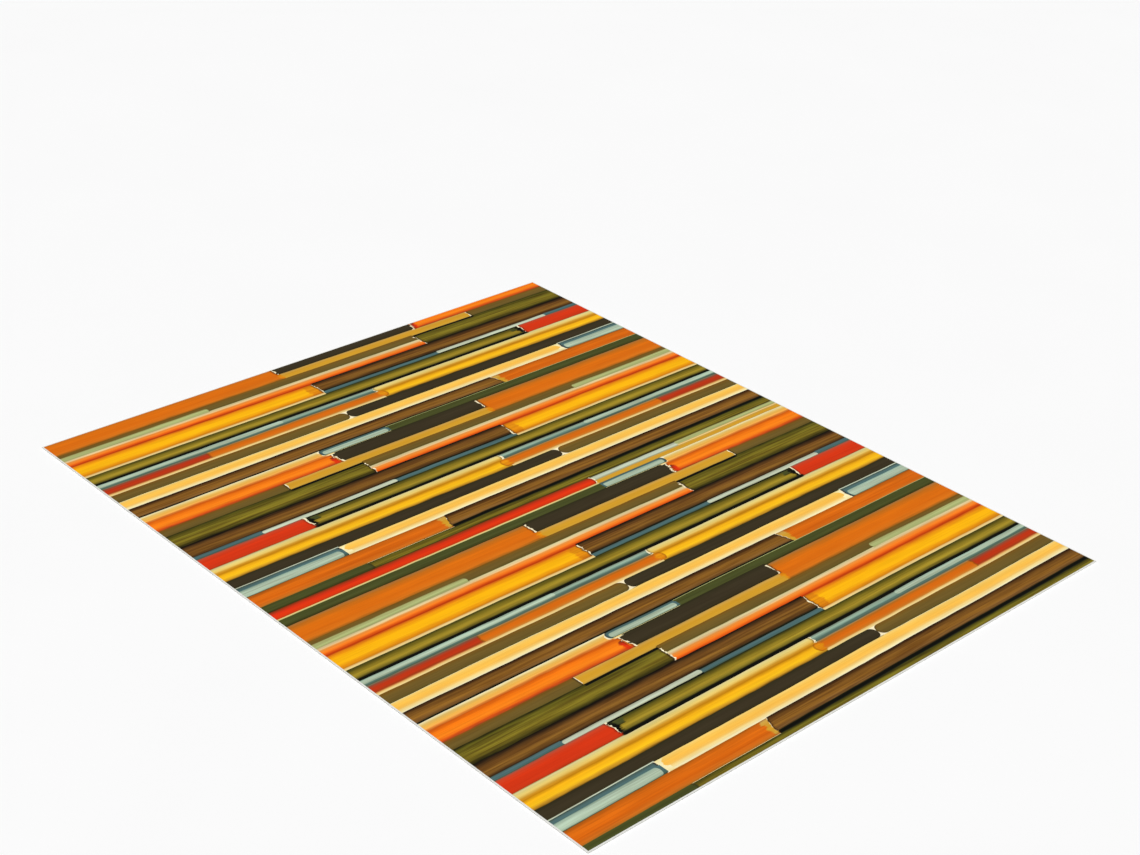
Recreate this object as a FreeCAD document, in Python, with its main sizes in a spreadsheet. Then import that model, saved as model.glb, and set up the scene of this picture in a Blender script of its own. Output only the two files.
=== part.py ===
import FreeCAD, Part
import os

import Sketcher

# Chair mat: a flat rectangular floor protector, cut from a laminated roll of printed vinyl.
#
# Frame, in millimetres: +X runs along the long side, +Y along the short side and +Z up.
# The origin is the middle of the underside, where the mat lies on the floor.
#
# The mat is six full-size layers bonded face to face. One straight cut goes through all of them,
# so every layer has the same outline, and each one starts where the layer below it ends.

SIZES = (
    # alias, millimetres, what it is
    ("mat_length", 1200.0, "long side, along X"),
    ("mat_width", 1000.0, "short side, along Y"),
    ("backing_thickness", 0.20, "non-slip vinyl skin on the floor"),
    ("lower_foam_thickness", 0.60, "lower cushion of foamed vinyl"),
    ("scrim_thickness", 0.15, "resin-bound glass fleece"),
    ("upper_foam_thickness", 0.60, "upper cushion of foamed vinyl"),
    ("print_thickness", 0.10, "white film that carries the print"),
    ("wear_film_thickness", 0.35, "clear embossed film on top"),
)

LAYERS_FROM_THE_FLOOR_UP = (
    # node, alias of its thickness
    ("grip_backing", "backing_thickness"),
    ("lower_foam", "lower_foam_thickness"),
    ("glass_fibre_scrim", "scrim_thickness"),
    ("upper_foam", "upper_foam_thickness"),
    ("decor_print", "print_thickness"),
    ("wear_film", "wear_film_thickness"),
)

OUTPUT_FOLDER = "parts"
BAD_STATES = {"Invalid", "Error"}

# How Sketcher counts an edge's ends, and the edge that starts at the sketch's origin.
START_POINT, END_POINT = 1, 2
ORIGIN_EDGE = -1


def add_sizes(document):
    """Write the driving dimensions to a sheet: a row, and an alias for the value, for each."""
    sheet = document.addObject("Spreadsheet::Sheet", "Sizes")
    for row, (alias, value, meaning) in enumerate(SIZES, start=1):
        sheet.set(f"A{row}", alias)
        sheet.set(f"B{row}", str(value))
        sheet.set(f"C{row}", meaning)
        sheet.setAlias(f"B{row}", alias)
    document.recompute()


def origin_plane(body, role):
    """Return the body's own origin plane that has this role, such as XY_Plane."""
    return next(plane for plane in body.Origin.OriginFeatures if plane.Role == role)


def add_outline(body):
    """Sketch the mat's outline on the body's XY plane: a rectangle centred on the origin."""
    sketch = body.newObject("Sketcher::SketchObject", f"{body.Name}_outline")
    sketch.AttachmentSupport = (origin_plane(body, "XY_Plane"), [""])
    sketch.MapMode = "FlatFace"

    corners = [FreeCAD.Vector(x, y, 0) for x, y in ((-1, -1), (1, -1), (1, 1), (-1, 1))]
    front, right, back, left = [
        sketch.addGeometry(Part.LineSegment(corner, corners[(index + 1) % len(corners)]))
        for index, corner in enumerate(corners)
    ]
    edges = (front, right, back, left)
    for index, edge in enumerate(edges):
        following = edges[(index + 1) % len(edges)]
        sketch.addConstraint(
            Sketcher.Constraint("Coincident", edge, END_POINT, following, START_POINT)
        )
    for edge in (front, back):
        sketch.addConstraint(Sketcher.Constraint("Horizontal", edge))
    for edge in (right, left):
        sketch.addConstraint(Sketcher.Constraint("Vertical", edge))
    sketch.addConstraint(
        Sketcher.Constraint(
            "Symmetric", front, START_POINT, back, START_POINT, ORIGIN_EDGE, START_POINT
        )
    )
    bind_distance(sketch, "DistanceX", front, "mat_length")
    bind_distance(sketch, "DistanceY", right, "mat_width")
    return sketch


def bind_distance(sketch, kind, edge, alias):
    """Give an edge's length a constraint named after the sheet's value that drives it."""
    constraint = Sketcher.Constraint(kind, edge, START_POINT, edge, END_POINT, 1.0)
    index = sketch.addConstraint(constraint)
    sketch.renameConstraint(index, alias)
    sketch.setExpression(f"Constraints.{alias}", f"Sizes.{alias}")


def add_layer(document, node, thickness, thicknesses_below):
    """Make one layer: the outline, padded by its thickness, on top of the layers below it."""
    body = document.addObject("PartDesign::Body", node)
    body.Label = node
    pad = body.newObject("PartDesign::Pad", f"{node}_sheet")
    pad.Profile = add_outline(body)
    pad.setExpression("Length", f"Sizes.{thickness}")
    if thicknesses_below:
        height = " + ".join(f"Sizes.{alias}" for alias in thicknesses_below)
        body.setExpression("Placement.Base.z", height)
    return body


def add_layers(document):
    """Stack the layers from the floor up, each on the ones before it."""
    layers = []
    thicknesses_below = []
    for node, thickness in LAYERS_FROM_THE_FLOOR_UP:
        layers.append(add_layer(document, node, thickness, thicknesses_below))
        thicknesses_below.append(thickness)
    return layers


def check(document, layers):
    """Stop if any object failed to compute, or a layer isn't one sound solid."""
    for thing in document.Objects:
        if BAD_STATES.intersection(thing.State):
            raise RuntimeError(f"{thing.Name} failed: {thing.State}")
    for layer in layers:
        if layer.Shape.isNull() or not layer.Shape.isValid() or len(layer.Shape.Solids) != 1:
            raise RuntimeError(f"{layer.Label} isn't one sound solid")


def export(layers):
    """Write each layer's solid to a STEP file named after its node."""
    os.makedirs(OUTPUT_FOLDER, exist_ok=True)
    for layer in layers:
        layer.Shape.exportStep(os.path.join(OUTPUT_FOLDER, f"{layer.Label}.step"))


def main():
    """Build the mat, check it and write its parts."""
    document = FreeCAD.newDocument("chair_mat")
    add_sizes(document)
    layers = add_layers(document)
    document.recompute()
    check(document, layers)
    export(layers)
    for layer in layers:
        box = layer.Shape.BoundBox
        print(
            f"{layer.Label}: {box.XLength:.1f} x {box.YLength:.1f} mm,"
            f" from {box.ZMin:.2f} to {box.ZMax:.2f} mm"
        )


main()
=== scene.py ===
"""Chair mat: a thin vinyl floor protector printed with long painted stripes, lying on a studio floor.

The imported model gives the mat's six bonded layers. The four lower layers stay as they are and get their
finishes here. The printed film and the clear wear film on it are bonded so that one face shows, so one
sheet stands for both: its top is cut along the edges of the painted strokes, and each face knows which
paint it wears and how far it is from the stroke's sides and ends.
"""

import sys
import contextlib
import logging
import math
from collections.abc import Iterator
from dataclasses import dataclass, field
from enum import Enum
from typing import Any

import bpy
import numpy as np
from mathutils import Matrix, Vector, noise


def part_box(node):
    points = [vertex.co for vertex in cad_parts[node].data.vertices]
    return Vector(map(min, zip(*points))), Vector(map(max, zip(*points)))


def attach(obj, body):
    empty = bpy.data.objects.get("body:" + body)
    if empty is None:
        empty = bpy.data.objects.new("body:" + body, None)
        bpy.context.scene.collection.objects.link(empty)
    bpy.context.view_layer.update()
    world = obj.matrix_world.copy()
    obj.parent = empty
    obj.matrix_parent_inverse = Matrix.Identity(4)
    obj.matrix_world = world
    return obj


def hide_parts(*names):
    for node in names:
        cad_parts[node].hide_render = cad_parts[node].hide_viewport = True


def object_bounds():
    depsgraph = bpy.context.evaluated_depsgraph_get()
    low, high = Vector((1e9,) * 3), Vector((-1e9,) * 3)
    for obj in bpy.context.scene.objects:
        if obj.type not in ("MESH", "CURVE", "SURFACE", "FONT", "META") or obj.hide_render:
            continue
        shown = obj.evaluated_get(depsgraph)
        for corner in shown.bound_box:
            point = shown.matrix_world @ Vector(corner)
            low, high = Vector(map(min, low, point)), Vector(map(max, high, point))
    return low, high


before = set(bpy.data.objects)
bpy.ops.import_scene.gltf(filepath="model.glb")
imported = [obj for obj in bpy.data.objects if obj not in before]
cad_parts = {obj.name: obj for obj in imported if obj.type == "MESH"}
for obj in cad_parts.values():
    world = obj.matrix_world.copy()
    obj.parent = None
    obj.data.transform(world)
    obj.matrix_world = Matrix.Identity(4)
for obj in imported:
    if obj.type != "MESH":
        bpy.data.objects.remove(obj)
BOX_AT_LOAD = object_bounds()

BODY = "root"
MM = 0.001

# How far a place may be from a line, in metres, and still be on it.
TOLERANCE = 0.01 * MM
# A step, in millimetres, to just before or just after a place in the pattern.
JUST = 0.001
# A face whose normal rises or falls by more than this looks up or down.
STEEP = 0.5

Colour = int  # a colour code such as 0xF0E0A0
LinearColour = tuple[float, float, float, float]
Socket = bpy.types.NodeSocket
Value = Socket | float
log = logging.getLogger("chair_mat")


def linear(colour: Colour, brightness: float = 1.0) -> LinearColour:
    """Turn a screen colour into the linear one that a shader takes.

    Args:
        colour: The colour as a screen shows it, as a code 0xRRGGBB.
        brightness: How bright it becomes, as a share of that.

    Returns:
        The colour in linear light, with an alpha of 1.
    """
    shares = [brightness * (colour >> shift & 0xFF) / 0xFF for shift in (16, 8, 0)]
    red, green, blue = (
        share / 12.92 if share <= 0.04045 else ((share + 0.055) / 1.055) ** 2.4 for share in shares
    )
    return red, green, blue, 1.0


# --- The artwork: paints, strokes and the ends of strokes ---


# Where a paint's colours lie across a stroke, from its left side at 0 to its right side at 1.
ACROSS = (0.0, 0.12, 0.35, 0.65, 0.88, 1.0)


@dataclass(frozen=True)
class Ink:
    """How a paint looks across a stroke.

    Attributes:
        colours: Its colours at the places that ACROSS gives.
        streaks: How strongly the bristles left streaks, from 0 to 1.
    """

    colours: tuple[Colour, ...]
    streaks: float


class Paint(Enum):
    """The paints of the print."""

    CREAM = Ink((0xF2E096, 0xFAEEB4, 0xFCF2BE, 0xFCF0BA, 0xF8E8AA, 0xE8D08C), 0.15)
    CREAM_YELLOW = Ink((0xD09A48, 0xE0AC60, 0xE8C47C, 0xF2D68E, 0xE8CE8A, 0xC8B070), 0.15)
    GREEN_CREAM = Ink((0xA09862, 0xCEC08C, 0xDCCA96, 0xE6C690, 0xECB878, 0xE8A45A), 0.3)
    CREAM_TO_MUSTARD = Ink((0xF6EEC8, 0xEEDC9C, 0xE4BC64, 0xEEB24A, 0xFAB454, 0xEE8836), 0.15)
    CREAM_TO_AMBER = Ink((0xA09860, 0xDCCC90, 0xE4D27E, 0xEECA68, 0xD6A236, 0xCE8E22), 0.15)
    PALE_CREAM = Ink((0xF6C86C, 0xF6D07A, 0xF8DC90, 0xF8E4A4, 0xFAEEBE, 0xEEE2B6), 0.15)
    PEACH = Ink((0xECCE78, 0xFACE6A, 0xFCC654, 0xFFC24D, 0xFAC256, 0xF8C86A), 0.12)
    MUSTARD = Ink((0xB09050, 0xD2A244, 0xD49C28, 0xD69E28, 0xD0A036, 0xB48C3A), 0.1)
    AMBER_YELLOW = Ink((0xD26010, 0xEC9208, 0xFFB806, 0xFFBA0A, 0xE8900A, 0xC67E0E), 0.12)
    SHADED_YELLOW = Ink((0xD4941E, 0xBE7C06, 0xFAB612, 0xFFC418, 0xC89022, 0x4A3408), 0.12)
    AMBER = Ink((0xBE6808, 0xDE820A, 0xE8940A, 0xE48C0A, 0xD47A08, 0xB8640A), 0.3)
    BURNT_ORANGE = Ink((0xA0703A, 0xC06C16, 0xE07008, 0xDC6C08, 0xDC7414, 0x9C6018), 0.1)
    STREAKED_ORANGE = Ink((0xA0560E, 0xC6600A, 0xE26E0C, 0xD46206, 0xD46E18, 0xA8681E), 0.25)
    BRIGHT_ORANGE = Ink((0xD88838, 0xCC5606, 0xF87A0C, 0xFF8816, 0xDC5410, 0x8C3E1A), 0.2)
    FLAME = Ink((0xE29848, 0xEE8E38, 0xFF8622, 0xE65C0E, 0xB83400, 0xC6520A), 0.15)
    ORANGE = Ink((0xB88446, 0xB0681A, 0xD86A08, 0xDC6C0A, 0xD2761C, 0xC88232), 0.1)
    RED = Ink((0x965646, 0xCC4020, 0xDA360E, 0xD4340E, 0xD23610, 0xA63206), 0.12)
    DEEP_RED = Ink((0x705A4C, 0x924830, 0xBA3410, 0xC0330E, 0xA43C10, 0xD08048), 0.15)
    SCARLET = Ink((0x7C3010, 0x9E3410, 0xD42E0E, 0xE83608, 0xD83408, 0xB03410), 0.12)
    BROWN = Ink((0x060402, 0x38240F, 0x70481A, 0x845A20, 0x523414, 0x140E06), 0.75)
    SOFT_BROWN = Ink((0x281808, 0x44280C, 0x7C521C, 0x8A5C1E, 0x7A5428, 0x34240C), 0.7)
    OLIVE_BROWN = Ink((0x7A500C, 0x76561C, 0x705924, 0x6E5826, 0x665422, 0x54481A), 0.2)
    OLIVE_GREEN = Ink((0x303408, 0x544C12, 0x806E1A, 0xA88E28, 0x74661E, 0x342E0A), 0.35)
    STREAKED_OLIVE = Ink((0x222408, 0x504A10, 0x70641A, 0x7C6C1C, 0x463E0E, 0x0E0C02), 0.9)
    DARK_GREEN = Ink((0x4A4C22, 0x464A1E, 0x464B21, 0x4A4E24, 0x3E3E14, 0x30280A), 0.3)
    BLACK_GREEN = Ink((0x26260E, 0x121204, 0x060600, 0x060600, 0x0C0E06, 0x24281A), 0.4)
    CHARCOAL = Ink((0x2C2A14, 0x352E1B, 0x3A311F, 0x3A311F, 0x352D1A, 0x2A2206), 0.2)
    SAGE = Ink((0x8C844C, 0xA6A86A, 0xB4BA7A, 0xAEB676, 0xA4AA6C, 0xACA870), 0.3)
    MIST = Ink((0x8C8E76, 0xB4BAA0, 0xC4CEB6, 0xC6D0B6, 0xBCC0A0, 0x92A07C), 0.4)
    PALE_AQUA = Ink((0x82A090, 0xA4BAA4, 0xB2C4AC, 0xB0C2A8, 0xA4B69E, 0x86987C), 0.45)
    TEAL = Ink((0x4C5444, 0x849482, 0x94AE98, 0x5A776C, 0x505C4A, 0x8A7A5A), 0.35)
    SLATE_BLUE = Ink((0x3E4E46, 0x4C6664, 0x4E6E70, 0x4A6A6C, 0x486258, 0x364632), 0.3)

    @property
    def place(self) -> float:
        """The paint's place in the palette, as a share of it."""
        return (list(Paint).index(self) + 0.5) / len(Paint)


# The film where nothing is printed, and the cream ground that shows between strokes.
BARE_WHITE: Colour = 0xE4E4DF
GROUND: Colour = 0xFEF0C8

# What the bristles pushed up at the end of a stroke.
DREGS: Colour = 0x2C1606


@dataclass(frozen=True)
class EndShape:
    """How a stroke ends, in millimetres.

    Attributes:
        tip: How far the middle of the end reaches past its sides.
        slant: How far the right side reaches past the middle.
        rag: How uneven the end is.
        halo: How wide the broken line of bare cream ground beyond the end is where it is whole.
        gap: How much wider that ground is at the sides.
        shade: How much darker the brush left the end, from 0 to 1.
        soft: How far the end blends into what lies beyond it.
    """

    tip: float = 0.0
    slant: float = 0.0
    rag: float = 0.4
    halo: float = 0.0
    gap: float = 0.0
    shade: float = 0.0
    soft: float = 0.3


class End(Enum):
    """The ends that the brush left."""

    SEAMLESS = EndShape(rag=0.0)
    ROUNDED = EndShape(tip=5.0, rag=0.5, soft=0.6)
    ROUNDED_OUTLINED = EndShape(tip=5.0, rag=0.5, halo=3.2, gap=2.0, shade=0.6)
    LONG_ROUNDED = EndShape(tip=9.0, slant=2.0, rag=5.0, soft=0.8)
    NECK = EndShape(tip=11.0, rag=0.3, gap=20.0, shade=0.4)
    BRUSHED = EndShape(tip=1.0, slant=0.6, rag=4.0, halo=2.72, gap=0.8, shade=0.85)
    BLENDED = EndShape(tip=2.0, rag=3.0, shade=0.6, soft=1.2)
    DARK_LINE = EndShape(rag=0.8, halo=2.88, shade=0.8)
    RAGGED = EndShape(slant=2.5, rag=5.0, halo=3.52, gap=1.5, shade=0.6)
    RAGGED_DARK = EndShape(tip=2.0, rag=5.0, halo=2.88, gap=1.2, shade=1.0)
    LOOSE = EndShape(tip=2.0, rag=10.0, soft=2.0)
    SLANTED = EndShape(tip=1.0, slant=5.0, rag=4.0, halo=0.8, shade=0.7)
    ARROW = EndShape(tip=7.0, rag=0.8, shade=0.4, soft=0.6)


@dataclass(frozen=True)
class Stroke:
    """A painted stroke of the pattern, in the pattern's own millimetres.

    Attributes:
        paint: What it is painted with.
        left: Its left side, from the pattern's left side.
        right: Its right side.
        head: Where it starts, from the top of the pattern.
        foot: Where it ends.
        head_end: How its head looks where it covers or meets another stroke.
        foot_end: How its foot looks there.
    """

    paint: Paint
    left: float
    right: float
    head: float
    foot: float
    head_end: End = End.SEAMLESS
    foot_end: End = End.SEAMLESS

    def covers(self, across: float, along: float) -> bool:
        """Whether the stroke covers this point of the pattern."""
        return self.left <= across <= self.right and self.head <= along < self.foot

    def share(self, across: float) -> float:
        """How far this place is across the stroke, from 0 at its left side to 1 at its right."""
        return (across - self.left) / (self.right - self.left)


# Strokes run off the pattern where their head is BEFORE or their foot is BEYOND.
BEFORE, BEYOND = -100.0, 1100.0

# Painted one over the other, in this order.
STROKES = (
    Stroke(Paint.CREAM, -1, 335, BEFORE, BEYOND),
    # Dark green over pale aqua
    Stroke(Paint.DARK_GREEN, 0, 20, BEFORE, 551),
    Stroke(Paint.SAGE, -1, 1, BEFORE, 551),
    Stroke(Paint.CREAM_TO_MUSTARD, 0, 15.5, 683, BEYOND),
    Stroke(Paint.SLATE_BLUE, 0, 15, 551, 683, foot_end=End.ROUNDED_OUTLINED),
    Stroke(Paint.PALE_AQUA, 3.8, 14, 553, 678, End.ROUNDED, End.ROUNDED),
    # Burnt orange over charcoal over bright orange
    Stroke(Paint.CHARCOAL, 15.5, 46.5, 382, 670),
    Stroke(Paint.MUSTARD, 46.5, 67, 382, 780),
    Stroke(Paint.BRIGHT_ORANGE, 15.5, 48, 670, BEYOND, End.RAGGED),
    Stroke(Paint.SCARLET, 26, 48, 671, 681, End.RAGGED, End.LOOSE),
    Stroke(Paint.PALE_CREAM, 15, 18.5, 663, 677, End.LOOSE, End.LOOSE),
    # Mustard over olive brown
    Stroke(Paint.OLIVE_BROWN, 64, 83, BEFORE, 647),
    Stroke(Paint.OLIVE_BROWN, 48, 68, 780, BEYOND, End.DARK_LINE),
    Stroke(Paint.BURNT_ORANGE, 20, 64, BEFORE, 382, foot_end=End.BRUSHED),
    Stroke(Paint.AMBER, 46.5, 64, 379, 386, End.LOOSE, End.LOOSE),
    # Sage beside flame, over streaked olive
    Stroke(Paint.SAGE, 73, 84.5, BEFORE, 224, foot_end=End.ROUNDED),
    Stroke(Paint.GREEN_CREAM, 84.5, 91, BEFORE, 224),
    Stroke(Paint.GREEN_CREAM, 83, 91, 224, 647),
    Stroke(Paint.FLAME, 91, 107, BEFORE, 647),
    Stroke(Paint.BROWN, 103.5, 136, 404, BEYOND),
    Stroke(Paint.STREAKED_OLIVE, 66.5, 103.5, 647, BEYOND, End.RAGGED_DARK),
    Stroke(Paint.BLACK_GREEN, 66.5, 71.5, 647, 780, foot_end=End.LOOSE),
    # Amber yellow over brown
    Stroke(Paint.CREAM_YELLOW, 141.5, 147, BEFORE, 404),
    Stroke(Paint.BLACK_GREEN, 134.5, 147, 404, 640),
    Stroke(Paint.SLATE_BLUE, 137.5, 146, 404, 640),
    Stroke(Paint.SLATE_BLUE, 134.5, 143.5, 884, BEYOND),
    Stroke(Paint.MIST, 136, 145, 640, 884, End.ROUNDED, End.ROUNDED),
    Stroke(Paint.AMBER_YELLOW, 107, 141.5, BEFORE, 404, foot_end=End.BRUSHED),
    Stroke(Paint.AMBER, 107, 141.5, 384, 404, End.LOOSE, End.BRUSHED),
    # Olive green over red
    Stroke(Paint.OLIVE_GREEN, 147, 171, BEFORE, 815),
    Stroke(Paint.BLACK_GREEN, 144.5, 147.5, 640, 815),
    Stroke(Paint.DARK_GREEN, 147.5, 158, 792, 805, End.LOOSE),
    Stroke(Paint.BLACK_GREEN, 147.5, 170.5, 805, 815, End.LOOSE),
    Stroke(Paint.RED, 143.5, 175.8, 815, BEYOND, End.RAGGED),
    # Teal over cream, and red over orange over yellow
    Stroke(Paint.TEAL, 176, 191, BEFORE, 472),
    Stroke(Paint.CREAM_YELLOW, 209, 215, BEFORE, 478),
    Stroke(Paint.DEEP_RED, 191, 209, BEFORE, 142),
    Stroke(Paint.ORANGE, 191, 209, 142, 474, End.BLENDED),
    Stroke(Paint.CREAM_TO_AMBER, 175.5, 190, 472, BEYOND, End.ROUNDED_OUTLINED),
    Stroke(Paint.BLACK_GREEN, 170.5, 177, BEFORE, 815, foot_end=End.LOOSE),
    Stroke(Paint.PALE_AQUA, 176, 185, BEFORE, 294, foot_end=End.ROUNDED),
    Stroke(Paint.SHADED_YELLOW, 190, 214.5, 474, BEYOND),
    Stroke(Paint.AMBER, 192, 211, 470, 486, End.LOOSE, End.ARROW),
    # Olive brown meets charcoal in a neck
    Stroke(Paint.CHARCOAL, 214.5, 237.5, 388, BEYOND),
    Stroke(Paint.OLIVE_BROWN, 214.5, 237, BEFORE, 388, foot_end=End.NECK),
    # Peach and cream over blue
    Stroke(Paint.CREAM, 237.5, 263, 800, 823),
    Stroke(Paint.PALE_CREAM, 254, 262, BEFORE, 812),
    Stroke(Paint.PEACH, 237.5, 254, BEFORE, 818, foot_end=End.LONG_ROUNDED),
    Stroke(Paint.MIST, 235.5, 238, 823, BEYOND),
    Stroke(Paint.SLATE_BLUE, 237.5, 263, 823, BEYOND, End.RAGGED_DARK),
    Stroke(Paint.PALE_AQUA, 245.5, 262, 828, BEYOND, End.ROUNDED),
    # Brown over streaked orange
    Stroke(Paint.STREAKED_ORANGE, 263, 295, 656, BEYOND),
    Stroke(Paint.MUSTARD, 264, 293, 656, 666, foot_end=End.LOOSE),
    Stroke(Paint.SOFT_BROWN, 262, 290, BEFORE, 656, foot_end=End.SLANTED),
    Stroke(Paint.BLACK_GREEN, 289, 295.5, BEFORE, 660, foot_end=End.BLENDED),
    # Olive green over dark green
    Stroke(Paint.STREAKED_OLIVE, 295.5, 313.5, BEFORE, 815),
    Stroke(Paint.DARK_GREEN, 295, 312, 815, BEYOND, End.BLENDED),
    # Sage and mustard over scarlet
    Stroke(Paint.MIST, 313.5, 324, 229, 408),
    Stroke(Paint.MUSTARD, 324, 334, BEFORE, 408),
    Stroke(Paint.SAGE, 312, 321, BEFORE, 229, foot_end=End.ROUNDED),
    Stroke(Paint.CREAM_YELLOW, 321, 324, BEFORE, 229),
    Stroke(Paint.CREAM_YELLOW, 331.5, 334, 408, BEYOND),
    Stroke(Paint.SCARLET, 312, 331.5, 408, BEYOND, End.ROUNDED_OUTLINED),
)


@dataclass(frozen=True)
class Joint:
    """A place where one stroke ends on another.

    Attributes:
        along: Where it is along the pattern.
        over: The stroke whose end shows.
        under: The stroke that it meets.
        side: 1 if the end that shows is a foot, and -1 if it is a head.
        shape: How that end looks.
    """

    along: float
    over: Stroke
    under: Stroke
    side: int
    shape: EndShape


@dataclass(frozen=True)
class Repeat:
    """One repeat of the pattern on the mat.

    Attributes:
        start: Where its left side lies, from the mat's left side, in millimetres.
        flipped: Whether it is turned end for end.
    """

    start: float
    flipped: bool = False


@dataclass(frozen=True)
class Artwork:
    """The whole print: the pattern's strokes, laid side by side in repeats, inside a bare border.

    Attributes:
        repeats: The repeats from left to right.
        strokes: The pattern's strokes, in the order that they were painted.
        turn: Where a flipped repeat has the pattern's zero, in millimetres from the top.
        reach: How far from its joint a stroke's end may be uneven, in millimetres.
    """

    repeats: tuple[Repeat, ...] = (
        Repeat(-25.0, flipped=True),
        Repeat(266.5),
        Repeat(600.5, flipped=True),
        Repeat(892.5),
    )
    strokes: tuple[Stroke, ...] = STROKES
    turn: float = 960.0
    reach: float = 32.0

    def repeat_at(self, x: float) -> Repeat:
        """The repeat that covers this place along the mat, in millimetres from its left side."""
        return [repeat for repeat in self.repeats if repeat.start <= x][-1]

    def along(self, repeat: Repeat, y: float) -> float:
        """How far along the pattern a point lies that is y millimetres from the top of the mat."""
        return self.turn - y if repeat.flipped else y

    def stroke_at(self, across: float, along: float) -> Stroke:
        """The stroke painted last at this point of the pattern."""
        return next(stroke for stroke in reversed(self.strokes) if stroke.covers(across, along))

    def cuts(self) -> list[float]:
        """Work out where the strokes' sides lie along the mat.

        Returns:
            The places, in millimetres from the mat's left side, sorted and each given once.
        """
        sides = sorted({side for stroke in self.strokes for side in (stroke.left, stroke.right)})
        ends = [repeat.start for repeat in self.repeats[1:]] + [math.inf]
        places = []
        for repeat, end in zip(self.repeats, ends):
            inside = [repeat.start + side for side in sides if side > 0]
            places += [repeat.start] + [place for place in inside if place < end]
        return places

    def joint_near(self, across: float, along: float) -> Joint | None:
        """Find the joint that shapes the print at this point of the pattern.

        Args:
            across: Millimetres from the pattern's left side.
            along: Millimetres from its top.

        Returns:
            The nearest joint within reach where one stroke shows its end, or None.
        """
        breaks = {
            place
            for stroke in self.strokes
            if stroke.left <= across <= stroke.right
            for place in (stroke.head, stroke.foot)
            if abs(place - along) < self.reach
        }
        for place in sorted(breaks, key=lambda place: abs(place - along)):
            above = self.stroke_at(across, place - JUST)
            below = self.stroke_at(across, place + JUST)
            if above is below:
                continue
            foot_shows = self.strokes.index(above) > self.strokes.index(below)
            over, under = (above, below) if foot_shows else (below, above)
            end = over.foot_end if foot_shows else over.head_end
            return Joint(place, over, under, 1 if foot_shows else -1, end.value)
        return None


# --- Small helpers ---


def deselect_everything() -> None:
    """Leave nothing selected, so that an operator acts only on what is picked next."""
    bpy.ops.object.select_all(action="DESELECT")


@contextlib.contextmanager
def editing(piece: bpy.types.Object) -> Iterator[None]:
    """Open a piece in edit mode, with all of it selected, and close it again.

    Args:
        piece: The mesh object to edit.

    Returns:
        A context in which mesh operators act on the piece.
    """
    deselect_everything()
    piece.select_set(True)
    bpy.context.view_layer.objects.active = piece
    bpy.ops.object.mode_set(mode="EDIT")
    bpy.ops.mesh.select_all(action="SELECT")
    yield
    bpy.ops.object.mode_set(mode="OBJECT")


def add_block(name: str, low: Vector, high: Vector) -> bpy.types.Object:
    """Add a cube primitive that fills a box, with its place in its mesh.

    Args:
        name: The new object's name.
        low: The box's lowest corner.
        high: Its highest corner.

    Returns:
        The new object, at the origin.
    """
    deselect_everything()
    bpy.ops.mesh.primitive_cube_add(size=1, location=(low + high) / 2, scale=high - low)
    block = bpy.context.active_object
    block.name = block.data.name = name
    bpy.ops.object.transform_apply(location=True, rotation=True, scale=True)
    return block


@dataclass(frozen=True)
class Grain:
    """A noise over a piece.

    Attributes:
        scale: Its fineness along each axis, in features per metre.
        detail: How many finer layers it has.
        roughness: How strong those are.
        band: The values of the noise that become 0 and 1, or None to leave it about 0.5.
    """

    scale: tuple[float, float, float]
    detail: float = 2.0
    roughness: float = 0.5
    band: tuple[float, float] | None = None


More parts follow.
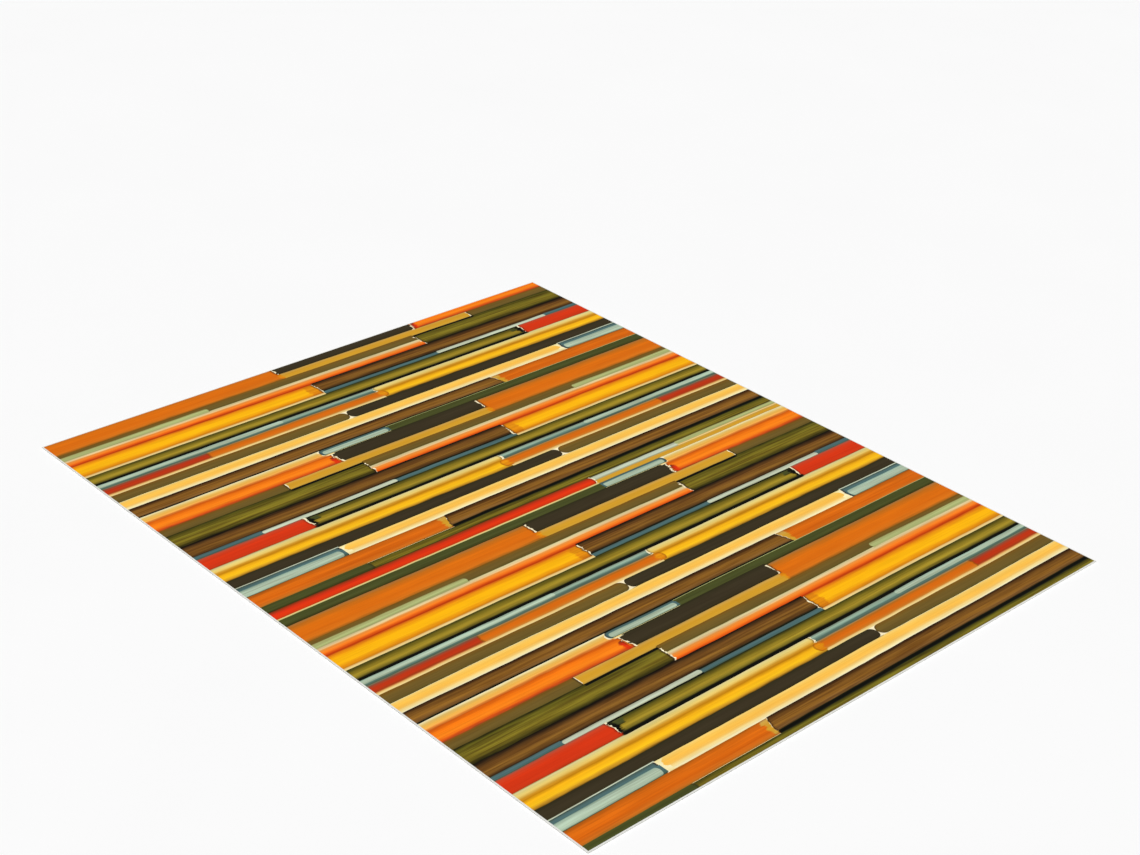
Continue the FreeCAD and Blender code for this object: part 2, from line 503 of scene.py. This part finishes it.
class Shading:
    """A material under construction, with short ways to add and join its nodes."""

    def __init__(self, name: str) -> None:
        """Start an empty material with a principled surface."""
        self.material = bpy.data.materials.new(name)
        self.material.use_nodes = True
        self.tree = self.material.node_tree
        self.surface = self.tree.nodes["Principled BSDF"]

    def add(self, kind: str, **settings: Any) -> bpy.types.Node:
        """Add a node.

        Args:
            kind: The node's type, without the leading ShaderNode.
            settings: Its properties.

        Returns:
            The new node.
        """
        node = self.tree.nodes.new(f"ShaderNode{kind}")
        for name, value in settings.items():
            setattr(node, name, value)
        return node

    def feed(self, socket: Socket, value: Value | tuple[float, ...]) -> None:
        """Link a socket into another, or set it to a plain value."""
        if isinstance(value, Socket):
            self.tree.links.new(value, socket)
        else:
            socket.default_value = value

    def math(self, operation: str, *values: Value) -> Socket:
        """Add a math node.

        Args:
            operation: What it works out, such as MULTIPLY.
            values: Its inputs, as sockets or numbers.

        Returns:
            Its result.
        """
        node = self.add("Math", operation=operation)
        for socket, value in zip(node.inputs, values):
            self.feed(socket, value)
        return node.outputs[0]

    def rise(self, value: Value, start: Value, end: Value, smooth: bool = False) -> Socket:
        """Add a node that goes from 0 to 1 as a value goes from start to end.

        Args:
            value: The value to follow.
            start: Where the result leaves 0.
            end: Where it reaches 1.
            smooth: Whether it eases in and out.

        Returns:
            The result, held between 0 and 1.
        """
        node = self.add("MapRange", interpolation_type="SMOOTHSTEP" if smooth else "LINEAR")
        for name, given in (("Value", value), ("From Min", start), ("From Max", end)):
            self.feed(node.inputs[name], given)
        return node.outputs["Result"]

    def blend(self, share: Value, first: Value, second: Value, mode: str = "MIX") -> Socket:
        """Add a node that blends two colours.

        Args:
            share: How much of the second colour shows.
            first: The first colour.
            second: The second colour.
            mode: How they blend, such as MULTIPLY.

        Returns:
            The blended colour.
        """
        node = self.add("Mix", data_type="RGBA", blend_type=mode)
        self.feed(node.inputs["Factor"], share)
        colours = [socket for socket in node.inputs if socket.type == "RGBA"]
        self.feed(colours[0], first)
        self.feed(colours[1], second)
        return next(socket for socket in node.outputs if socket.type == "RGBA")

    def parts(self, vector: Socket) -> tuple[Socket, Socket, Socket]:
        """Split a vector into its three numbers."""
        node = self.add("SeparateXYZ")
        self.feed(node.inputs[0], vector)
        return node.outputs[0], node.outputs[1], node.outputs[2]

    def attribute(self, name: str) -> tuple[Socket, Socket, Socket]:
        """Read the three numbers of one of the piece's own attributes."""
        node = self.add("Attribute", attribute_name=name)
        return self.parts(node.outputs["Vector"])

    def place(self, scale: tuple[float, float, float]) -> Socket:
        """Read object coordinates, stretched by a scale along each axis."""
        mapping = self.add("Mapping")
        self.feed(mapping.inputs["Vector"], self.add("TexCoord").outputs["Object"])
        self.feed(mapping.inputs["Scale"], scale)
        return mapping.outputs[0]

    def grain(self, grain: Grain) -> Socket:
        """Add noise over the piece.

        Args:
            grain: What the noise is like.

        Returns:
            The noise, from 0 to 1.
        """
        node = self.add("TexNoise")
        self.feed(node.inputs["Vector"], self.place(grain.scale))
        self.feed(node.inputs["Scale"], 1.0)
        self.feed(node.inputs["Detail"], grain.detail)
        self.feed(node.inputs["Roughness"], grain.roughness)
        noise_value = node.outputs["Fac"]
        return self.rise(noise_value, *grain.band) if grain.band else noise_value

    def relief(self, height: Socket, depth: float) -> None:
        """Give the surface a fine relief.

        Args:
            height: Where the surface is high, from 0 to 1.
            depth: How deep the relief is, in metres.
        """
        node = self.add("Bump")
        self.feed(node.inputs["Distance"], depth)
        self.feed(node.inputs["Strength"], 1.0)
        self.feed(node.inputs["Height"], height)
        self.feed(self.surface.inputs["Normal"], node.outputs[0])

    def set(self, **values: Value | tuple[float, ...]) -> None:
        """Set or feed the surface's sockets, given by name with underscores for spaces."""
        for name, value in values.items():
            self.feed(self.surface.inputs[name.replace("_", " ")], value)


# --- Finishes ---


@dataclass(frozen=True)
class PrintFinish:
    """Paint strokes printed on white film, under clear film with a fine satin emboss.

    Attributes:
        roughness: How satin the clear film is.
        roughness_spread: How much the pebbles of its emboss change that.
        emboss: How deep the emboss is, in metres.
        pebbles: The grain of the emboss.
        coarse_bristles: The grain of the broad streaks that the bristles left.
        fine_bristles: The grain of the narrow ones.
        fine_share: How strong those are beside the broad ones.
        streak_tint: How much streaks and patches change the red, green and blue of a paint.
        patches: The grain of broad lighter and darker patches of paint.
        patchiness: How strong those are.
        sway: The grain that moves the colours inside a stroke sideways.
        sway_width: How far it moves them, as a share of the stroke's width.
        rags: The grain of a stroke's uneven end.
        halo_breaks: The grain that breaks the line of bare ground beyond an end.
        thinnest_halo: The narrowest bare line that shows, in metres.
        shade_reach: How far back from its end the brush left a stroke darker, in metres.
    """

    roughness: float = 0.42
    roughness_spread: float = 0.12
    emboss: float = 0.02 * MM
    pebbles: Grain = Grain((900.0, 900.0, 900.0))
    coarse_bristles: Grain = Grain((240.0, 5.0, 0.0), detail=4.0, roughness=0.65, band=(0.38, 0.62))
    fine_bristles: Grain = Grain((1300.0, 14.0, 0.0), band=(0.35, 0.65))
    fine_share: float = 0.4
    streak_tint: tuple[float, float, float] = (0.85, 1.0, 1.1)
    patches: Grain = Grain((60.0, 12.0, 0.0))
    patchiness: float = 0.2
    sway: Grain = Grain((260.0, 28.0, 0.0), detail=3.0)
    sway_width: float = 0.16
    rags: Grain = Grain((150.0, 40.0, 0.0), detail=4.0, roughness=0.6)
    halo_breaks: Grain = Grain((110.0, 110.0, 0.0), band=(0.4, 0.6))
    thinnest_halo: float = 0.2 * MM
    shade_reach: float = 5 * MM

    def palette(self, shading: Shading, paint: Socket, position: int) -> bpy.types.Node:
        """Look up one of the colours of a paint.

        Args:
            shading: The material.
            paint: The paint's place in the palette.
            position: Which of its colours, from left to right.

        Returns:
            A node that gives the colour, with the strength of the paint's streaks as its alpha.
        """
        node = shading.add("ValToRGB")
        ramp = node.color_ramp
        ramp.interpolation = "CONSTANT"
        ramp.elements.remove(ramp.elements[1])
        for index, choice in enumerate(Paint):
            element = ramp.elements.new(index / len(Paint)) if index else ramp.elements[0]
            element.color = (*linear(choice.value.colours[position])[:3], choice.value.streaks)
        shading.feed(node.inputs[0], paint)
        return node

    def stroke_colour(self, shading: Shading, paint: Socket, across: Socket) -> tuple[Socket, Socket]:
        """Colour a stroke from its left side to its right.

        Args:
            shading: The material.
            paint: The paint's place in the palette.
            across: How far across the stroke the point lies, from 0 to 1.

        Returns:
            The stroke's colour, and how strong its streaks are.
        """
        first = self.palette(shading, paint, 0)
        colour, streaks = first.outputs["Color"], first.outputs["Alpha"]
        for position in range(1, len(ACROSS)):
            share = shading.rise(across, ACROSS[position - 1], ACROSS[position])
            following = self.palette(shading, paint, position).outputs["Color"]
            colour = shading.blend(share, colour, following)
        return colour, streaks

    def end_outline(self, shading: Shading, across: Socket) -> tuple[Socket, Socket]:
        """Work out the outline of a stroke's end from its tip, slant and rag.

        Args:
            shading: The material.
            across: How far across the stroke the point lies, from 0 to 1.

        Returns:
            How far beyond the joint the end lies here, in metres, and how near the stroke's sides
            the point is, from 0 in the middle to 1.
        """
        tip, slant, rag = shading.attribute("end_shape")
        centred = shading.math("MULTIPLY_ADD", across, 2.0, -1.0)
        squared = shading.math("MULTIPLY", centred, centred)
        round_part = shading.math("MAXIMUM", shading.math("SUBTRACT", 1.0, squared), 0.0)
        side = shading.math("SUBTRACT", 1.0, shading.math("SQRT", round_part))
        rags = shading.math("MULTIPLY_ADD", shading.grain(self.rags), 2.0, -1.0)
        outline = shading.math("MULTIPLY", shading.math("MULTIPLY", tip, side), -1.0)
        outline = shading.math("MULTIPLY_ADD", slant, centred, outline)
        return shading.math("MULTIPLY_ADD", rag, rags, outline), side

    def unevenness(self, shading: Shading, streaks: Socket) -> Socket:
        """Make the paint lighter and darker in streaks and patches.

        Args:
            shading: The material.
            streaks: How strong the paint's streaks are, from 0 to 1.

        Returns:
            The colour to multiply the paint by.
        """
        coarse, fine = shading.grain(self.coarse_bristles), shading.grain(self.fine_bristles)
        bristles = shading.math("MULTIPLY_ADD", fine, self.fine_share, coarse)
        bristles = shading.math("SUBTRACT", bristles, (1 + self.fine_share) / 2)
        patches = shading.math("SUBTRACT", shading.grain(self.patches), 0.5)
        uneven = shading.math("MULTIPLY", bristles, streaks)
        uneven = shading.math("MULTIPLY_ADD", patches, self.patchiness, uneven)
        light = shading.add("CombineXYZ")
        for socket, share in zip(light.inputs, self.streak_tint):
            shading.feed(socket, shading.math("MULTIPLY_ADD", uneven, share, 1.0))
        return light.outputs[0]

    def make(self) -> bpy.types.Material:
        """Build the material.

        Returns:
            The material, which reads the attributes that PrintedFace writes.
        """
        shading = Shading("printed_vinyl")
        over_across, under_across, soft = shading.attribute("across")
        distance, over_paint, under_paint = shading.attribute("joint")
        halo, gap, shade = shading.attribute("end_edge")

        sway = shading.grain(self.sway)
        sway = shading.math("MULTIPLY_ADD", sway, self.sway_width, -self.sway_width / 2)
        over_swayed = shading.math("ADD", over_across, sway)
        under_swayed = shading.math("ADD", under_across, sway)
        over, over_streaks = self.stroke_colour(shading, over_paint, over_swayed)
        under, under_streaks = self.stroke_colour(shading, under_paint, under_swayed)

        # Past the end of the upper stroke a broken line of bare ground may show, and then the lower one.
        outline, side = self.end_outline(shading, over_across)
        beyond = shading.math("SUBTRACT", distance, outline)
        halo = shading.math("MULTIPLY", halo, shading.grain(self.halo_breaks))
        bare = shading.math("MULTIPLY_ADD", gap, side, halo)
        hard = shading.math("MULTIPLY", soft, -1.0)
        is_bare = shading.math("GREATER_THAN", bare, self.thinnest_halo)
        shows_ground = shading.math("MULTIPLY", shading.rise(beyond, hard, soft), is_bare)
        shows_under = shading.rise(shading.math("SUBTRACT", beyond, bare), hard, soft)
        near_end = shading.rise(beyond, -self.shade_reach, 0.0, smooth=True)
        darkened = shading.blend(shading.math("MULTIPLY", near_end, shade), over, linear(DREGS))
        ground = shading.blend(shows_ground, darkened, linear(GROUND))
        painted = shading.blend(shows_under, ground, under)

        streaks = shading.math("SUBTRACT", under_streaks, over_streaks)
        streaks = shading.math("MULTIPLY_ADD", streaks, shows_under, over_streaks)
        colour = shading.blend(1.0, painted, self.unevenness(shading, streaks), "MULTIPLY")
        is_painted = shading.math("GREATER_THAN", over_paint, 0.0)
        colour = shading.blend(is_painted, linear(BARE_WHITE), colour)

        pebbles = shading.grain(self.pebbles)
        shading.relief(pebbles, self.emboss)
        smoothest = self.roughness - self.roughness_spread / 2
        satin = shading.math("MULTIPLY_ADD", pebbles, self.roughness_spread, smoothest)
        shading.set(Base_Color=colour, Roughness=satin, Specular_IOR_Level=0.2)
        return shading.material


@dataclass(frozen=True)
class FoamFinish:
    """White foamed vinyl, as its cut edge shows it: fine closed cells, with painted shade in their
    bottoms.

    Attributes:
        name: The material's name.
        colour: Its colour.
        cells: How many cells lie in a metre.
        cell_radius: How far from its middle a cell rises to full height, as a share of its width.
        cell_depth: How deep the cells are, in metres.
        shadow: How bright the painted shade in the cells' bottoms is, as a share of the colour; the darker
            patches take this colour too.
        patches: The grain of broad darker patches.
        patchiness: How strong those are.
    """

    name: str
    colour: Colour
    cells: float = 4200.0
    cell_radius: float = 0.7
    cell_depth: float = 0.04 * MM
    shadow: float = 0.82
    patches: Grain = Grain((240.0, 240.0, 240.0))
    patchiness: float = 0.2

    def make(self) -> bpy.types.Material:
        """Build the material."""
        shading = Shading(self.name)
        cells = shading.add("TexVoronoi", feature="F1")
        shading.feed(cells.inputs["Vector"], shading.place((self.cells,) * 3))
        shading.feed(cells.inputs["Scale"], 1.0)
        height = shading.rise(cells.outputs["Distance"], 0.0, self.cell_radius, smooth=True)
        # The cells' bottoms are painted darker, as shade in the hollows, on top of the relief.
        shadowed = linear(self.colour, brightness=self.shadow)
        colour = shading.blend(height, shadowed, linear(self.colour))
        patches = shading.math("MULTIPLY", shading.grain(self.patches), self.patchiness)
        colour = shading.blend(patches, colour, shadowed)
        shading.relief(height, self.cell_depth)
        shading.set(Base_Color=colour, Roughness=0.85, Specular_IOR_Level=0.25)
        return shading.material


@dataclass(frozen=True)
class FleeceFinish:
    """Resin-bound glass fleece: a felt of fine pale fibres.

    Attributes:
        colour: The colour of the fibres.
        between: The colour of the resin between them.
        lengthwise: The grain of the fibres that run along the mat.
        crosswise: The grain of those that run across it.
        fibre_band: The values of the grain where a fibre starts to show and where it shows whole.
        fibre_depth: How far the fibres stand out of the resin, in metres.
    """

    colour: Colour = 0xDEDED6
    between: Colour = 0xB0B1AA
    lengthwise: Grain = Grain((180.0, 3200.0, 3200.0), detail=3.0)
    crosswise: Grain = Grain((3200.0, 180.0, 3200.0), detail=3.0)
    fibre_band: tuple[float, float] = (0.45, 0.62)
    fibre_depth: float = 0.03 * MM

    def make(self) -> bpy.types.Material:
        """Build the material."""
        shading = Shading("glass_fleece")
        lengthwise, crosswise = shading.grain(self.lengthwise), shading.grain(self.crosswise)
        fibres = shading.math("MAXIMUM", lengthwise, crosswise)
        fibres = shading.rise(fibres, *self.fibre_band, smooth=True)
        shading.relief(fibres, self.fibre_depth)
        colour = shading.blend(fibres, linear(self.between), linear(self.colour))
        shading.set(Base_Color=colour, Roughness=0.7)
        return shading.material


@dataclass(frozen=True)
class GripFinish:
    """Soft grey vinyl skin with rows of small raised grip dots on fine pebbling.

    Attributes:
        colour: The colour of the skin.
        dot_colour: The colour of the dots.
        pitch: The distance between dots, in metres.
        row_turn: How far the rows are turned from the mat's sides, in degrees.
        dot_radii: Where a dot is full height and where it ends, as shares of the pitch.
        dot_height: How high the dots are, in metres.
        pebbles: The grain of the pebbling.
        pebble_height: How high it is, as a share of the dots' height.
        patches: The grain of broad darker patches.
        patchiness: How strong those are.
        shadow: How bright they are, as a share of the colour.
    """

    colour: Colour = 0xC4C5C2
    dot_colour: Colour = 0xD6D7D4
    pitch: float = 5 * MM
    row_turn: float = 45.0
    dot_radii: tuple[float, float] = (0.2, 0.3)
    dot_height: float = 0.12 * MM
    pebbles: Grain = Grain((1500.0, 1500.0, 1500.0))
    pebble_height: float = 0.25
    patches: Grain = Grain((12.0, 12.0, 12.0))
    patchiness: float = 0.5
    shadow: float = 0.9

    def make(self) -> bpy.types.Material:
        """Build the material."""
        shading = Shading("grip_skin")
        turned = shading.add("Mapping")
        shading.feed(turned.inputs["Vector"], shading.add("TexCoord").outputs["Object"])
        shading.feed(turned.inputs["Rotation"], (0.0, 0.0, math.radians(self.row_turn)))
        shading.feed(turned.inputs["Scale"], (1 / self.pitch,) * 3)
        across, along, _ = shading.parts(turned.outputs[0])
        squared = 0.0
        for place in (across, along):
            from_middle = shading.math("SUBTRACT", shading.math("FRACT", place), 0.5)
            squared = shading.math("MULTIPLY_ADD", from_middle, from_middle, squared)
        full, rim = self.dot_radii
        dots = shading.rise(shading.math("SQRT", squared), rim, full, smooth=True)
        pebbles = shading.grain(self.pebbles)
        colour = shading.blend(dots, linear(self.colour), linear(self.dot_colour))
        shadowed = linear(self.colour, brightness=self.shadow)
        patches = shading.math("MULTIPLY", shading.grain(self.patches), self.patchiness)
        colour = shading.blend(patches, colour, shadowed)
        shading.relief(shading.math("MULTIPLY_ADD", pebbles, self.pebble_height, dots), self.dot_height)
        shading.set(Base_Color=colour, Roughness=0.75, Specular_IOR_Level=0.3)
        return shading.material


@dataclass(frozen=True)
class FloorFinish:
    """The studio floor: plain, matt and nearly white.

    Attributes:
        colour: Its colour.
        shadow: How bright its faint patches are, as a share of that.
        patches: Their grain.
    """

    colour: Colour = 0xFAFAFA
    shadow: float = 0.99
    patches: Grain = Grain((3.0, 3.0, 3.0))

    def make(self) -> bpy.types.Material:
        """Build the material."""
        shading = Shading("studio_floor")
        shadowed = linear(self.colour, brightness=self.shadow)
        colour = shading.blend(shading.grain(self.patches), linear(self.colour), shadowed)
        shading.set(Base_Color=colour, Roughness=0.9, Specular_IOR_Level=0.1)
        return shading.material


# --- The mat ---


@dataclass(frozen=True)
class Sway:
    """One of the ways in which a side drawn by hand strays from straight.

    Attributes:
        across: How often it changes across the strokes, per metre.
        along: How often it changes along them.
        reach: How far it goes, in metres.
        seed: What sets it apart from others.
    """

    across: float
    along: float
    reach: float
    seed: float

    def at(self, x: float, y: float) -> float:
        """How far it moves a side at this place, in metres."""
        return self.reach * noise.noise(Vector((x * self.across, y * self.along, self.seed)))


@dataclass
class PrintedFace:
    """The mat's printed face: the white film that carries the print, and the clear wear film on it.

    Attributes:
        artwork: What is printed.
        border: The width of the bare white border, in metres.
        row: About how far apart the rows of faces are, in metres.
        eased: How far the top edge is eased, in metres.
        sways: How the strokes' sides stray: a slow drift and a quicker wobble.
        calm: How far from the print's left and right they stray less, in metres.
        margin: The share of the texture map round the top that the walls use.
        finish: The finish of the face.
    """

    artwork: Artwork = field(default_factory=Artwork)
    border: float = 1.8 * MM
    row: float = 6.5 * MM
    eased: float = 0.12 * MM
    sways: tuple[Sway, ...] = (Sway(30, 5, 1.2 * MM, seed=0), Sway(40, 36, 0.4 * MM, seed=7))
    calm: float = 20 * MM
    margin: float = 0.016
    finish: PrintFinish = field(default_factory=PrintFinish)

    def __post_init__(self) -> None:
        """Take the sheet's box from the two layers that it stands for, and the print's sides from that."""
        self.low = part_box("decor_print")[0]
        self.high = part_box("wear_film")[1]
        self.left, self.right = self.low.x + self.border, self.high.x - self.border
        self.front, self.back = self.low.y + self.border, self.high.y - self.border

    def build(self) -> bpy.types.Object:
        """Model the sheet, paint it and place it.

        Returns:
            The finished piece.
        """
        piece = add_block("printed_face", self.low, self.high)
        self.ease_top(piece)
        self.cut_along_strokes(piece)
        self.paint(piece)
        self.lay_out_map(piece)
        self.waver_sides(piece)
        piece.data.materials.append(self.finish.make())
        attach(piece, BODY)
        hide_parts("decor_print", "wear_film")
        return piece

    def ease_top(self, piece: bpy.types.Object) -> None:
        """Take the sharpness off the top edge, as the cutter leaves it."""
        with editing(piece):
            bpy.ops.mesh.select_all(action="DESELECT")
            bpy.ops.object.mode_set(mode="OBJECT")
            top = self.high.z - self.eased
            for edge in piece.data.edges:
                edge.select = all(piece.data.vertices[index].co.z > top for index in edge.vertices)
            bpy.ops.object.mode_set(mode="EDIT")
            bpy.ops.mesh.bevel(offset=self.eased, segments=1)

    def rows(self) -> list[float]:
        """Divide the print's length evenly into rows of faces.

        Returns:
            The places of the cuts, with both ends.
        """
        length = self.back - self.front
        count = round(length / self.row)
        return [self.front + length * index / count for index in range(count + 1)]

    def cut_along_strokes(self, piece: bpy.types.Object) -> None:
        """Cut the sheet along every stroke's sides, and into rows across them."""
        sides = [self.low.x + place * MM for place in self.artwork.cuts()]
        columns = [self.left, *(side for side in sides if self.left < side < self.right), self.right]
        rows = self.rows()
        with editing(piece):
            for places, normal in ((columns, Vector((1, 0, 0))), (rows, Vector((0, 1, 0)))):
                for place in places:
                    bpy.ops.mesh.select_all(action="SELECT")
                    bpy.ops.mesh.bisect(
                        plane_co=normal * place, plane_no=normal, threshold=TOLERANCE / 10
                    )
        log.info("printed_face: %d columns, %d rows", len(columns), len(rows))

    def is_printed(self, face: bpy.types.MeshPolygon) -> bool:
        """Whether a face is part of the top, inside the border."""
        x, y, _ = face.center
        return self.left < x < self.right and self.front < y < self.back and face.normal.z > STEEP

    def paint(self, piece: bpy.types.Object) -> None:
        """Write, for each corner of each face, the paint and its place in the stroke.

        The attributes are across (over and under stroke, softness), joint (distance beyond the end,
        over and under paint), end_shape (tip, slant and rag) and end_edge (halo, gap and shade). All
        lengths are in metres.
        """
        mesh = piece.data
        names = ("across", "joint", "end_shape", "end_edge")
        written = {name: np.zeros((len(mesh.loops), 3)) for name in names}
        for face in mesh.polygons:
            if not self.is_printed(face):
                continue
            x, y = (face.center.x - self.low.x) / MM, (self.high.y - face.center.y) / MM
            repeat = self.artwork.repeat_at(x)
            across, along = x - repeat.start, self.artwork.along(repeat, y)
            joint = self.artwork.joint_near(across, along)
            if joint is None:
                stroke = self.artwork.stroke_at(across, along)
                joint = Joint(math.inf, stroke, stroke, 1, End.SEAMLESS.value)
            shape = joint.shape
            paints = joint.over.paint.place, joint.under.paint.place
            for loop in face.loop_indices:
                corner = mesh.vertices[mesh.loops[loop].vertex_index].co
                place = (corner.x - self.low.x) / MM - repeat.start
                along = self.artwork.along(repeat, (self.high.y - corner.y) / MM)
                beyond = max((along - joint.along) * joint.side, -self.artwork.reach * 2)
                over, under = joint.over.share(place), joint.under.share(place)
                written["across"][loop] = over, under, shape.soft * MM
                written["joint"][loop] = beyond * MM, *paints
                written["end_shape"][loop] = shape.tip * MM, shape.slant * MM, shape.rag * MM
                written["end_edge"][loop] = shape.halo * MM, shape.gap * MM, shape.shade
        for name, values in written.items():
            layer = mesh.attributes.new(name, "FLOAT_VECTOR", "CORNER")
            layer.data.foreach_set("vector", values.astype(np.float32).ravel())

    def lay_out_map(self, piece: bpy.types.Object) -> None:
        """Lay out a texture map: the top from above, the walls in strips round it, the bottom in a corner.

        The map is named OFBake.
        """
        mesh = piece.data
        layer = mesh.uv_layers.new(name="OFBake")
        size = self.high - self.low
        strip, corner = self.margin * 0.25, self.margin * 0.5
        for face in mesh.polygons:
            for loop in face.loop_indices:
                place = mesh.vertices[mesh.loops[loop].vertex_index].co - self.low
                u, v, w = place.x / size.x, place.y / size.y, place.z / size.z
                across = self.margin + (1 - 2 * self.margin) * u
                along = self.margin + (1 - 2 * self.margin) * v
                if face.normal.z < -STEEP:
                    spot = corner * u, corner * v
                elif face.normal.z > STEEP:
                    spot = across, along
                elif abs(face.normal.y) > abs(face.normal.x):
                    spot = across, strip * (1 + w) if face.normal.y < 0 else 1 - strip * (1 + w)
                else:
                    spot = strip * (1 + w) if face.normal.x < 0 else 1 - strip * (1 + w), along
                layer.data[loop].uv = spot

    def waver_sides(self, piece: bpy.types.Object) -> None:
        """Let the strokes' sides stray a little from straight, as a brush drawn by hand does."""
        for vertex in piece.data.vertices:
            x, y, z = vertex.co
            from_side = min(x - self.left, self.right - x)
            from_end = min(y - self.front, self.back - y)
            on_top = z > self.high.z - TOLERANCE
            if on_top and from_end > -TOLERANCE and from_side > TOLERANCE:
                shift = sum(sway.at(x, y) for sway in self.sways)
                vertex.co.x = x + shift * min(from_side / self.calm, 1)


@dataclass
class BondedLayers:
    """The four layers below the print, which keep their shapes and get their finishes.

    Attributes:
        finishes: The finish of each layer, by its name.
    """

    finishes: dict[str, FoamFinish | FleeceFinish | GripFinish] = field(
        default_factory=lambda: {
            "upper_foam": FoamFinish("white_foam", 0xECECE6),
            "glass_fibre_scrim": FleeceFinish(),
            "lower_foam": FoamFinish("grey_white_foam", 0xDEDED9),
            "grip_backing": GripFinish(),
        }
    )

    def dress(self) -> None:
        """Give each layer its material."""
        for name, finish in self.finishes.items():
            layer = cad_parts[name]
            layer.data.materials.clear()
            layer.data.materials.append(finish.make())
            log.info("%s: %s", name, layer.data.materials[0].name)


# --- The studio ---


@dataclass
class Studio:
    """A plain pale floor, soft lights and the camera.

    Attributes:
        floor_size: The length of the floor's sides, in metres.
        floor_gap: How far it lies under the mat, in metres.
        floor_finish: Its finish.
        sky_heights: How high the sky starts and stops brightening, from 0 level to 1 overhead.
        sky_strengths: How bright it is there.
        lamp_strength: How bright the lamp is.
        lamp_width: How wide it looks from the mat, in degrees.
        lamp_direction: Where it hangs, seen from the mat.
        camera_place: Where the camera stands, in metres.
        camera_turn: How it is turned, in degrees.
        lens: Its focal length, in millimetres.
        lens_shift: How far its view is shifted across, as a share of the view's width.
    """

    floor_size: float = 24.0
    floor_gap: float = 0.02 * MM
    floor_finish: FloorFinish = field(default_factory=FloorFinish)
    sky_heights: tuple[float, float] = (0.2, 0.9)
    sky_strengths: tuple[float, float] = (0.02, 0.2)
    lamp_strength: float = 3.1
    lamp_width: float = 60.0
    lamp_direction: tuple[float, float, float] = (0.35, -0.35, 1.0)
    camera_place: tuple[float, float, float] = (1.8686, -1.8185, 1.5342)
    camera_turn: tuple[float, float, float] = (61.571, -2.201, 48.197)
    lens: float = 64.98
    lens_shift: float = 0.0445

    def build(self) -> None:
        """Add the floor, the lights and the camera."""
        self.add_floor()
        self.add_lights()
        self.add_camera()

    def add_floor(self) -> None:
        """Lay the floor just under the mat."""
        deselect_everything()
        under = BOX_AT_LOAD[0].z - self.floor_gap
        bpy.ops.mesh.primitive_plane_add(size=self.floor_size, location=(0, 0, under))
        floor = bpy.context.active_object
        floor.name = "studio_floor"
        floor.data.materials.append(self.floor_finish.make())

    def add_lights(self) -> None:
        """Light the studio evenly: a pale sky, white where it is seen, and a large soft lamp overhead."""
        world = bpy.data.worlds.new("studio_sky")
        bpy.context.scene.world = world
        world.use_nodes = True
        nodes, links = world.node_tree.nodes, world.node_tree.links
        height = nodes.new("ShaderNodeSeparateXYZ")
        links.new(nodes.new("ShaderNodeTexCoord").outputs["Generated"], height.inputs[0])
        glow = nodes.new("ShaderNodeMapRange")
        links.new(height.outputs["Z"], glow.inputs["Value"])
        names = "From Min", "From Max", "To Min", "To Max"
        for name, value in zip(names, self.sky_heights + self.sky_strengths):
            glow.inputs[name].default_value = value
        nodes["Background"].inputs["Color"].default_value = (1.0, 1.0, 1.0, 1.0)
        backdrop = nodes.new("ShaderNodeMath")
        backdrop.operation = "MAXIMUM"
        links.new(glow.outputs["Result"], backdrop.inputs[0])
        links.new(nodes.new("ShaderNodeLightPath").outputs["Is Camera Ray"], backdrop.inputs[1])
        links.new(backdrop.outputs[0], nodes["Background"].inputs["Strength"])
        lamp = bpy.data.lights.new("overhead_glow", "SUN")
        lamp.energy = self.lamp_strength
        lamp.angle = math.radians(self.lamp_width)
        glow_above = bpy.data.objects.new("overhead_glow", lamp)
        glow_above.rotation_euler = Vector(self.lamp_direction).to_track_quat("Z", "Y").to_euler()
        bpy.context.collection.objects.link(glow_above)

    def add_camera(self) -> None:
        """Stand the camera where it sees the mat from above one corner."""
        data = bpy.data.cameras.new("camera")
        data.lens = self.lens
        data.shift_x = self.lens_shift
        camera = bpy.data.objects.new("camera", data)
        camera.location = self.camera_place
        camera.rotation_euler = [math.radians(turn) for turn in self.camera_turn]
        bpy.context.collection.objects.link(camera)
        bpy.context.scene.camera = camera
        bpy.context.scene.view_settings.view_transform = "Standard"


def main() -> None:
    """Build the mat and its studio, and report each piece."""
    logging.basicConfig(level=logging.INFO, format="%(name)s: %(message)s", stream=sys.stdout)
    face = PrintedFace().build()
    log.info("%s: %d faces", face.name, len(face.data.polygons))
    BondedLayers().dress()
    Studio().build()


if __name__ == "__main__":
    main()
